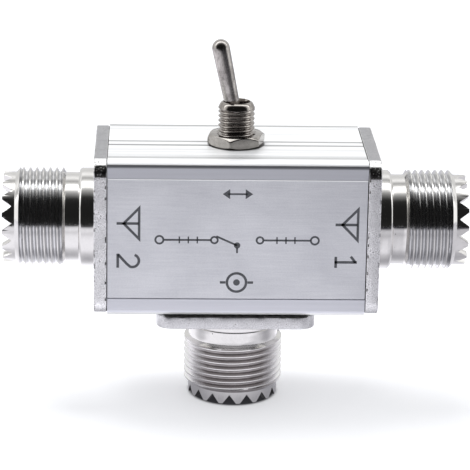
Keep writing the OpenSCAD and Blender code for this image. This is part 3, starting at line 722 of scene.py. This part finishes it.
def lever():
    prof = [(0.75, -2.5), (0.75, -6.15), (0.80, -6.2), (0.93, -6.2), (1.04, -6.14), (1.1, -6.05), (1.1, -4.0), (1.1, -1.44)]
    for i in range(1, 16):                                  # ball
        a = math.radians(-50 + i * 103 / 16)
        prof.append((1.8 * math.cos(a), 1.8 * math.sin(a)))
    prof += [(1.06, 1.46), (1.05, 1.6), (1.05, 2.4), (1.06, 2.6), (1.10, 2.9), (1.155, 3.2), (1.195, 3.5), (1.215, 3.9),
             (1.235, 5.0), (1.27, 6.5), (1.305, 8.0), (1.345, 9.8), (1.385, 11.6), (1.4, 12.4)]
    for i in range(1, 15):
        a = math.radians(i * 89 / 14)
        prof.append((1.398 * math.cos(a), 12.57 + 1.398 * math.sin(a)))
    bm = bmesh.new()
    revolve(bm, prof, 72, 0, True, True)
    # trunnions
    pin = bmesh.new()
    revolve(pin, [(0.44, -2.3), (0.5, -2.24), (0.5, 0), (0.5, 2.24), (0.44, 2.3)], 32, 0, True, True)
    pin.transform(Matrix.Rotation(PI / 2, 4, "X"))
    me = bpy.data.meshes.new("t")
    pin.to_mesh(me)
    pin.free()
    bm.from_mesh(me)
    bpy.data.meshes.remove(me)
    place = Matrix.Translation((0, 0, MID + 15.5)) @ Matrix.Rotation(math.radians(-12), 4, "Y")
    ob = finish_mesh("lever_detail", bm, [M_LEVER], place, "lever")
    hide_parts("toggle_lever")


def spring():
    """Coil spring between the lever and the plunger, built along the lever's axis at rest and attached to no body."""
    turns, per, sides, r, wire, low, high = 5, 24, 12, 0.5, 0.11, -4.4, -2.63
    place = Matrix.Translation((0, 0, MID + 15.5)) @ Matrix.Rotation(math.radians(-12), 4, "Y")
    rows = []
    for i in range(turns * per + 1):
        a = 2 * PI * i / per
        up = low + (high - low) * i / (turns * per)
        row = []
        for j in range(sides):
            b = 2 * PI * j / sides
            row.append(((r + wire * math.cos(b)) * math.cos(a), (r + wire * math.cos(b)) * math.sin(a), up + wire * math.sin(b)))
        rows.append(row)
    bm = bmesh.new()
    vs = add_loop_rows(bm, rows)
    bm.faces.new(list(reversed(vs[0])))
    bm.faces.new(vs[-1])
    ob = finish_mesh("spring_detail", bm, [M_RING], place, None, 50.0)
    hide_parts("plunger_spring")
    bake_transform(ob)


bushing()
hex_nut()
lever()
spring()


# ------------------------------------------------------------------ marks on the front plate
INK_Y = -12.28
INK_T = 0.014


class Marks:
    """Flat strokes in the plate's plane. x is to the right and z up, in mm from the plate's middle."""

    def __init__(self):
        self.bm = bmesh.new()

    def poly(self, pts):
        lo = [self.bm.verts.new((x, INK_Y + 0.002, MID + z)) for x, z in pts]
        hi = [self.bm.verts.new((x, INK_Y - INK_T, MID + z)) for x, z in pts]
        n = len(pts)
        self.bm.faces.new(lo)
        self.bm.faces.new(list(reversed(hi)))
        for j in range(n):
            k = (j + 1) % n
            self.bm.faces.new((lo[j], hi[j], hi[k], lo[k]))

    def strip(self, pts, w, closed=False):
        """A band of width w along a polyline, with mitred turns."""
        n = len(pts)
        left, right = [], []
        for i, (x, z) in enumerate(pts):
            if closed or 0 < i < n - 1:
                ax, az = pts[i - 1]
                bx, bz = pts[(i + 1) % n]
                d1 = Vector((x - ax, z - az)).normalized()
                d2 = Vector((bx - x, bz - z)).normalized()
                t = (d1 + d2).normalized()
                m = Vector((-t.y, t.x)) / max(t.dot(d1), 0.4)
            else:
                a = pts[i] if i == 0 else pts[i - 1]
                b = pts[i + 1] if i == 0 else pts[i]
                t = Vector((b[0] - a[0], b[1] - a[1])).normalized()
                m = Vector((-t.y, t.x))
            left.append((x + m.x * w / 2, z + m.y * w / 2))
            right.append((x - m.x * w / 2, z - m.y * w / 2))
        low, top = [[(self.bm.verts.new((lx, y, MID + lz)), self.bm.verts.new((rx, y, MID + rz))) for (lx, lz), (rx, rz) in zip(left, right)]
                    for y in (INK_Y + 0.002, INK_Y - INK_T)]
        for i in range(n if closed else n - 1):
            k = (i + 1) % n
            (a, b), (c, d), (e, f), (g, h) = low[i], low[k], top[i], top[k]
            for quad in ((a, c, d, b), (e, f, h, g), (a, e, g, c), (b, d, h, f)):
                self.bm.faces.new(quad)
        if not closed:
            for (a, b), (e, f) in ((low[0], top[0]), (low[-1], top[-1])):
                self.bm.faces.new((a, b, f, e))

    def ring(self, cx, cz, r, w, n=40):
        self.strip([(cx + r * math.cos(2 * PI * j / n), cz + r * math.sin(2 * PI * j / n)) for j in range(n)], w, True)

    def dot(self, cx, cz, r, n=32):
        self.poly([(cx + r * math.cos(2 * PI * j / n), cz + r * math.sin(2 * PI * j / n)) for j in range(n)])


def turned(cx, cz, pts):
    """Glyph points (right, up) turned a quarter clockwise, so that a glyph's top faces right."""
    return [(cx + v, cz - u) for u, v in pts]


def marks():
    m = Marks()
    w = 0.42
    # aerial sign and numeral beside each end socket, reading downwards
    for cx, digit in ((-17.0, 2), (17.0, 1)):
        cz = 0.0
        # aerial: mast with an open triangle on top
        m.strip(turned(cx, cz, [(-2.6, -1.75), (-2.6, 1.72)]), w)
        m.strip(turned(cx, cz, [(-5.1, 1.75), (-0.1, 1.75), (-2.6, -0.65)]), w, True)
        if digit == 1:
            m.strip(turned(cx, cz, [(2.55, 0.78), (3.55, 1.56)]), w)
            m.strip(turned(cx, cz, [(3.5, 1.75), (3.5, -1.75)]), w)
            m.strip(turned(cx, cz, [(2.6, -1.55), (4.4, -1.55)]), w)
        else:
            arc = [(3.45 + 1.02 * math.cos(math.radians(a)), 0.72 + 1.02 * math.sin(math.radians(a))) for a in range(160, -31, -12)]
            m.strip(turned(cx, cz, arc + [(3.9, -0.2), (2.42, -1.5)]), w)
            m.strip(turned(cx, cz, [(2.3, -1.55), (4.6, -1.55)]), w)
    # changeover diagram along the middle
    t = 0.30
    for s in (-1, 1):
        m.ring(s * 12.1, 0.0, 0.62, t)
        m.strip([(s * 11.45, 0.0), (s * 4.1, 0.0)], t)
        m.ring(s * 3.55, 0.0, 0.52, t)
        for x in (6.2, 7.6, 9.0):                         # three ticks, as on a line of the diagram
            m.strip([(s * x, -0.55), (s * x, 0.55)], 0.22)
    m.dot(0.0, -0.85, 0.5)
    m.strip([(0.0, -0.85), (-3.25, 0.62)], t)
    m.strip([(0.0, -1.2), (0.0, -2.1)], t)
    # two-way arrow under the lever
    m.strip([(-1.5, 7.45), (1.5, 7.45)], 0.28)
    for s in (-1, 1):
        m.poly([(s * 1.2, 8.25), (s * 2.35, 7.45), (s * 1.2, 6.65)][:: s])
    # coaxial port sign over the lower socket
    m.ring(0.0, -6.9, 1.5, 0.40, 56)
    m.dot(0.0, -6.9, 0.52)
    for s in (-1, 1):
        m.strip([(s * 1.72, -6.9), (s * 2.6, -6.9)], 0.40)
    ob = finish_mesh("plate_marks", m.bm, [M_INK], Matrix.Identity(4), "case")


marks()

# ------------------------------------------------------------------ finishes of the CAD pieces
FINISH = {
    "case_extrusion": M_CASE, "front_label_plate": M_FOIL, "switch_frame": M_STEEL, "switch_case": M_BLUE,
    "common_terminal": M_SILVER, "left_terminal": M_SILVER, "right_terminal": M_SILVER,
    "switch_lock_washer": M_RING, "lever_plunger": M_NYLON, "plunger_spring": M_RING, "rocker_contact": M_BRASS,
    "ant1_link_wire": M_TIN, "ant2_link_wire": M_TIN, "radio_link_wire": M_TIN, "solder_joints": M_SOLDER,
    "switch_bushing": M_NICKEL, "switch_hex_nut": M_NUT, "toggle_lever": M_LEVER,
}
for key in ("ant1", "ant2", "radio"):
    FINISH.update({key + "_socket_shell": M_BARREL, key + "_front_insulator": M_PTFE, key + "_rear_insulator": M_PTFE,
                   key + "_centre_contact": M_SILVER, key + "_snap_ring": M_RING, key + "_flange_screws": M_STEEL})
for node, mat in FINISH.items():
    ob = NODES[node]
    if ob.material_slots:
        for s in ob.material_slots:
            s.material = mat
    else:
        ob.data.materials.append(mat)
for node, width in (("case_extrusion", 0.05), ("front_label_plate", 0.03)):
    b = NODES[node].modifiers.new("edge", "BEVEL")
    b.width = width * MM
    b.segments = 2
    b.limit_method = "ANGLE"
    b.angle_limit = math.radians(50)
    b.harden_normals = False

# ------------------------------------------------------------------ floor, light and camera
def floor_material():
    m, nt, b = new_material("floor_pale")
    vec = coords(nt)
    big = noise_tex(nt, vec, 3.0, 3.0, 0.5)
    nt.links.new(ramp(nt, big, [(0.3, (0.60, 0.605, 0.615)), (0.7, (0.62, 0.625, 0.63))]), b.inputs["Base Color"])
    # painted shadow: the floor is dark where the lower socket's ring closes it in
    sep = nt.nodes.new("ShaderNodeSeparateXYZ")
    nt.links.new(vec, sep.inputs[0])
    near_y = math_node(nt, "MULTIPLY", sep.outputs["Y"], 0.92)
    close = math_node(nt, "SQRT", math_node(nt, "ADD", math_node(nt, "MULTIPLY", sep.outputs["X"], sep.outputs["X"]),
                                            math_node(nt, "MULTIPLY", near_y, near_y)), 0.0)
    inside = remap(nt, close, 0.0066, 0.0073, 0.0, 1.0)
    pale = b.inputs["Base Color"].links[0].from_socket
    nt.links.new(mix_colour(nt, inside, (0.02, 0.02, 0.024), pale), b.inputs["Base Color"])
    # a lit table: it glows a little from below; the glow is cut off under the lower socket's ring as painted shadow
    nt.links.new(mix_colour(nt, remap(nt, close, 0.0068, 0.0075, 0.0, 1.0), (0.0, 0.0, 0.0), (0.98, 0.98, 1.0)), b.inputs["Emission Color"])
    b.inputs["Emission Strength"].default_value = 0.36
    b.inputs["Roughness"].default_value = 0.55
    b.inputs["Specular IOR Level"].default_value = 0.25
    return m


bm = bmesh.new()
n_side = 24
grid = [[bm.verts.new((-2.4 + 4.8 * i / n_side, -2.4 + 4.8 * j / n_side, -0.00002)) for i in range(n_side + 1)] for j in range(n_side + 1)]
for j in range(n_side):
    for i in range(n_side):
        bm.faces.new((grid[j][i], grid[j][i + 1], grid[j + 1][i + 1], grid[j + 1][i]))
me = bpy.data.meshes.new("floor")
bm.to_mesh(me)
bm.free()
me.materials.append(floor_material())
floor = bpy.data.objects.new("floor", me)
bpy.context.scene.collection.objects.link(floor)


def studio_piece(name, bm, material, loc):
    """Something that only reflections see: part of the studio, not of the object."""
    me = bpy.data.meshes.new(name)
    bm.to_mesh(me)
    bm.free()
    me.materials.append(material)
    ob = bpy.data.objects.new(name, me)
    ob.location = loc
    bpy.context.scene.collection.objects.link(ob)
    ob.visible_camera = False
    ob.visible_diffuse = False
    ob.visible_shadow = False
    ob.visible_transmission = False
    return ob


def emitter(name, strength):
    m, nt, b = new_material(name)
    b.inputs["Base Color"].default_value = (0, 0, 0, 1)
    b.inputs["Roughness"].default_value = 1.0
    b.inputs["Specular IOR Level"].default_value = 0.0
    b.inputs["Emission Strength"].default_value = strength
    tc = nt.nodes.new("ShaderNodeTexCoord")
    sep = nt.nodes.new("ShaderNodeSeparateXYZ")
    nt.links.new(tc.outputs["Object"], sep.inputs[0])
    return m, nt, b, sep.outputs["X"], sep.outputs["Y"], sep.outputs["Z"]


def grey_ramp(nt, val, strength, tint, stops):
    return ramp(nt, val, [(p, tuple(v * c / strength for c in tint)) for p, v in stops])


# brightness of the tent over the object, by angle from the front horizon (0) over the top (90) to the back (180)
TENT = [(0, 0.020), (20, 0.015), (50, 0.018), (60, 0.028), (64, 0.05), (68, 0.13), (74.5, 0.29), (81.5, 0.55), (86, 0.92), (90, 1.6),
        (92.5, 2.3), (95, 3.4), (103.5, 3.4), (105.5, 2.2), (107.5, 1.4), (110, 1.05), (113, 0.82), (116.5, 0.62), (120, 0.56), (123.5, 0.70), (127, 0.96), (131, 1.18),
        (136, 1.22), (141, 1.10), (146, 0.93), (151, 0.86), (158, 0.84), (166, 0.86), (173, 0.84), (180, 0.78)]


def tent():
    power, radius = 3.6, 0.7
    m, nt, b, x, y, z = emitter("studio_tent", power)
    ang = math_node(nt, "ARCTAN2", math_node(nt, "MAXIMUM", z, 0.0005), math_node(nt, "MULTIPLY", y, -1.0))
    over = grey_ramp(nt, math_node(nt, "DIVIDE", ang, PI), power, (1, 1, 1), [(a / 180, v) for a, v in TENT])
    wide = math_node(nt, "ABSOLUTE", x, 0.0)
    round_ = math_node(nt, "ARCTAN2", wide, math_node(nt, "MULTIPLY", y, -1.0))        # angle from the camera's side, seen from above
    front = math_node(nt, "MULTIPLY", remap(nt, round_, math.radians(70), math.radians(81), 0.0, 1.0), remap(nt, y, 0.0, -0.02 * radius, 0.0, 1.0))
    side = math_node(nt, "MAXIMUM", remap(nt, wide, 0.88 * radius, 0.97 * radius, 0.0, 1.0), front)
    nt.links.new(mix_colour(nt, side, over, (1.25 / power,) * 3), b.inputs["Emission Color"])
    bm = bmesh.new()
    na, ne = 72, 24
    rows = []
    for j in range(ne + 1):
        el = math.radians(-2.4 + 92.4 * j / ne)
        rows.append([bm.verts.new((radius * math.cos(el) * math.sin(2 * PI * i / na), -radius * math.cos(el) * math.cos(2 * PI * i / na),
                                   radius * math.sin(el))) for i in range(na)])
    for p, q in zip(rows, rows[1:]):
        for i in range(na):
            k = (i + 1) % na
            bm.faces.new((p[i], p[k], q[k], q[i]))
    bmesh.ops.remove_doubles(bm, verts=bm.verts, dist=0.00001)
    studio_piece("studio_tent", bm, m, (0, 0, 0.03))


# brightness of the sheet that the object stands on, by distance in mm towards the back
SHEET = [(-330, 0.02), (-270, 0.06), (-235, 0.20), (-195, 0.55), (-150, 0.96), (-108, 1.09), (-88, 1.00), (-69, 0.89), (-56, 1.04), (-42, 1.18), (-22, 1.22), (-10, 1.15), (0, 1.20), (30, 1.34), (75, 1.30), (110, 1.05), (123, 0.72), (150, 0.72)]


def sheet():
    power = 1.6
    m, nt, b, x, y, z = emitter("studio_sheet", power)
    along = grey_ramp(nt, remap(nt, y, -0.35, 0.15, 0.0, 1.0), power, (0.98, 0.972, 1.035), [((v + 350) / 500, g) for v, g in SHEET])

    def far(sx, sy, oy):
        u = math_node(nt, "DIVIDE", x, sx)
        v = math_node(nt, "DIVIDE", math_node(nt, "SUBTRACT", y, oy), sy)
        return math_node(nt, "SQRT", math_node(nt, "ADD", math_node(nt, "MULTIPLY", u, u), math_node(nt, "MULTIPLY", v, v)), 0.0)

    # painted shadow of the object on the sheet: darker in a wide ellipse under the object, near the middle, and towards
    # the right
    shade = remap(nt, far(0.078, 0.016, -0.002), 0.18, 1.05, 0.43, 1.0)
    foot = remap(nt, far(1.0, 1.0, 0.0), 0.007, 0.030, 0.76, 1.0)
    side = remap(nt, x, 0.021, 0.031, 1.0, 0.70)
    total = math_node(nt, "MULTIPLY", math_node(nt, "MULTIPLY", shade, foot), side)
    nt.links.new(mix_colour(nt, total, (0.0, 0.0, 0.012), along), b.inputs["Emission Color"])
    bm = bmesh.new()
    rows = [[bm.verts.new((r * math.cos(2 * PI * i / 64), r * math.sin(2 * PI * i / 64), 0)) for i in range(64)]
            for r in (0.01, 0.05, 0.15, 0.35, 0.69)]
    for p, q in zip(rows, rows[1:]):
        for i in range(64):
            k = (i + 1) % 64
            bm.faces.new((p[i], p[k], q[k], q[i]))
    bm.faces.new(rows[0])
    studio_piece("studio_sheet", bm, m, (0, 0, -0.00001))


tent()
sheet()

world = bpy.data.worlds.new("studio")
bpy.context.scene.world = world
world.use_nodes = True
bg = world.node_tree.nodes["Background"]
bg.inputs["Color"].default_value = (0.975, 0.985, 1.0, 1)
bg.inputs["Strength"].default_value = 0.98


def soft_sun(name, tilt_back, tilt_side, spread, power):
    """A wide soft light from above and behind. Reflections see the tent instead."""
    l = bpy.data.lights.new(name, "SUN")
    l.energy = power
    l.angle = math.radians(spread)
    o = bpy.data.objects.new(name, l)
    toward = Vector((math.tan(math.radians(tilt_side)), math.tan(math.radians(tilt_back)), 1.0))
    o.rotation_euler = (-toward).to_track_quat("-Z", "Y").to_euler()
    o.visible_glossy = False
    bpy.context.scene.collection.objects.link(o)
    return o


soft_sun("overhead", 18, -12, 32, 1.75)

cam_data = bpy.data.cameras.new("photo_camera")
cam = bpy.data.objects.new("photo_camera", cam_data)
bpy.context.scene.collection.objects.link(cam)
cam_data.sensor_fit = "HORIZONTAL"
cam_data.sensor_width = 36.0
cam_data.lens = 2485.13 / 470 * 36.0
cam_data.clip_start = 0.01
cam_data.clip_end = 20.0
pitch, yaw, roll = math.radians(16.837), math.radians(2.022), math.radians(0.9623)
d = Vector((math.sin(yaw) * math.cos(pitch), math.cos(yaw) * math.cos(pitch), -math.sin(pitch)))
r0 = Vector((math.cos(yaw), -math.sin(yaw), 0))
u0 = r0.cross(d)
r = math.cos(roll) * r0 + math.sin(roll) * u0
u = -math.sin(roll) * r0 + math.cos(roll) * u0
M = Matrix(((r.x, u.x, -d.x, -13.397 * MM), (r.y, u.y, -d.y, -381.712 * MM), (r.z, u.z, -d.z, (112.72 + MID) * MM), (0, 0, 0, 1)))
cam.matrix_world = M
bpy.context.scene.camera = cam
bpy.context.scene.view_settings.view_transform = "Standard"
bpy.context.scene.view_settings.look = "None"
